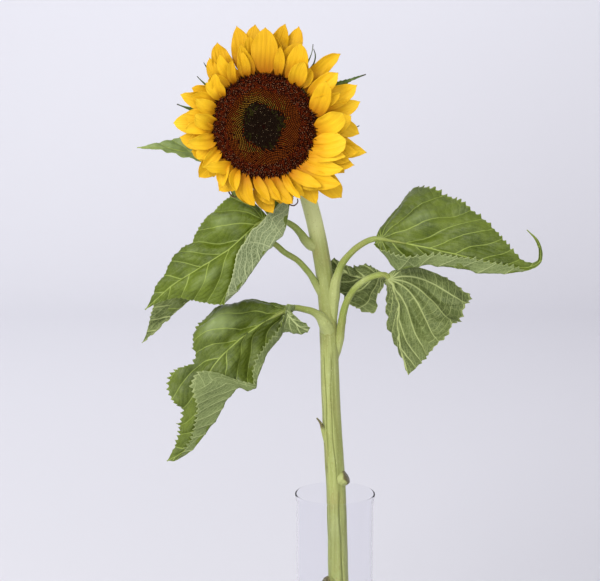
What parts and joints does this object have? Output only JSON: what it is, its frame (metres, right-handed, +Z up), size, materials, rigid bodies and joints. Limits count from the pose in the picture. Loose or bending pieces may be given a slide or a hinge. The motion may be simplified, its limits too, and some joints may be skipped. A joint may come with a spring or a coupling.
{
  "type": "cut sunflower in a glass vase",
  "caption": "Single cut sunflower with a ribbed stem, stalked toothed leaves and a large dark seed disc ringed by golden ray petals, leaning in a plain clear glass cylinder vase.",
  "frame": {"origin": "centre of the vase's flat underside", "axes": "+Z up along the vase's axis, -Y towards the viewer and the way the flower faces, +X to the viewer's right"},
  "size_m": [0.2976, 0.0773, 0.5458],
  "materials": {
    "vase_glass": "gloss",
    "stem": "satin",
    "leaf": "satin",
    "leaf_underside": "matte",
    "bract": "matte",
    "seed_disc": "matte",
    "petal": "satin"
  },
  "bodies": {
    "root": {"vase": "vase_glass", "stem": "stem", "neck": "stem", "stub_at_vase_rim": "stem", "stub_below_rim": "stem", "side_bud": "stem", "petiole_upper_left": "stem", "petiole_middle_left": "stem", "petiole_lower_left": "stem", "petiole_upper_right": "stem", "petiole_lower_right": "stem", "petiole_behind_head": "stem", "leaf_upper_left": "leaf", "leaf_middle_left": "leaf", "leaf_lower_left": "leaf", "leaf_upper_right": "leaf", "leaf_lower_right": "leaf", "leaf_behind_head": "leaf", "leaf_upper_left_folded_edge": "leaf_underside", "leaf_lower_left_folded_edge": "leaf_underside", "leaf_lower_right_back_lobe": "leaf_underside", "receptacle": "bract", "bract_1": "bract", "bract_2": "bract", "bract_3": "bract", "bract_4": "bract", "bract_5": "bract", "seed_disc": "seed_disc", "petal_outer_1": "petal", "petal_outer_2": "petal", "petal_outer_3": "petal", "petal_outer_4": "petal", "petal_outer_5": "petal", "petal_outer_6": "petal", "petal_outer_7": "petal", "petal_outer_8": "petal", "petal_outer_9": "petal", "petal_outer_10": "petal", "petal_outer_11": "petal", "petal_outer_12": "petal", "petal_outer_13": "petal", "petal_outer_14": "petal", "petal_outer_15": "petal", "petal_outer_16": "petal", "petal_outer_17": "petal", "petal_inner_1": "petal", "petal_inner_2": "petal", "petal_inner_3": "petal", "petal_inner_4": "petal", "petal_inner_5": "petal", "petal_inner_6": "petal", "petal_inner_7": "petal", "petal_inner_8": "petal", "petal_inner_9": "petal", "petal_inner_10": "petal", "petal_inner_11": "petal", "petal_inner_12": "petal", "petal_inner_13": "petal", "petal_inner_14": "petal", "petal_inner_15": "petal"}
  },
  "joints": []
}
